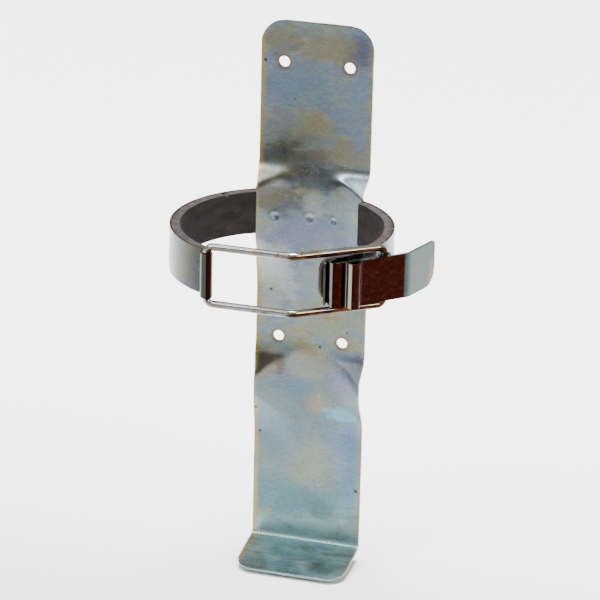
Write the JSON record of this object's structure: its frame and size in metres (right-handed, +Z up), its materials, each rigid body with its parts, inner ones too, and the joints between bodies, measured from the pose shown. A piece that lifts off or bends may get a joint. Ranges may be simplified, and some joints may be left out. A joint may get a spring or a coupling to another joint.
{
  "type": "gas cylinder bracket",
  "caption": "Wall bracket that holds a small gas cylinder upright: pressed plate with a sloping foot, rubber-lined steel strap, and a wire bail closed by an over-centre lever.",
  "frame": {"origin": "on the wall, at the middle of the four screw holes", "axes": "+X to the right seen from the front, +Y into the wall, +Z up"},
  "size_m": [0.1474, 0.1246, 0.3216],
  "materials": {
    "plate_zinc": "satin zinc plate with an iridescent passivated film, worn and spotted",
    "strap_zinc": "glossy zinc plate with a pale iridescent passivated film",
    "lining_rubber": "matt grey rubber, worn at the edges",
    "wire_zinc": "glossy zinc-plated wire",
    "latch_zinc": "glossy zinc plate, finely scratched"
  },
  "bodies": {
    "bracket": {"back_plate": "plate_zinc", "strap_band": "strap_zinc", "lining_left": "lining_rubber", "lining_right": "lining_rubber"},
    "bail": {"wire_bail": "wire_zinc"},
    "lever": {"latch_link": "latch_zinc", "latch_handle": "latch_zinc"}
  },
  "joints": [
    {"name": "bail_swing", "type": "hinge", "parent": "bracket", "child": "bail", "pos_m": [-0.02389, -0.12134, -0.004], "axis": [0, 0, 1], "range_deg": [-150, 0]},
    {"name": "lever_swing", "type": "hinge", "parent": "bail", "child": "lever", "pos_m": [0.06554, -0.08937, -0.004], "axis": [0, 0, 1], "range_deg": [-52.5, 0]}
  ],
  "couplings": [
    {"joint": "lever_swing", "follows": "bail_swing", "ratio": 0.35}
  ]
}
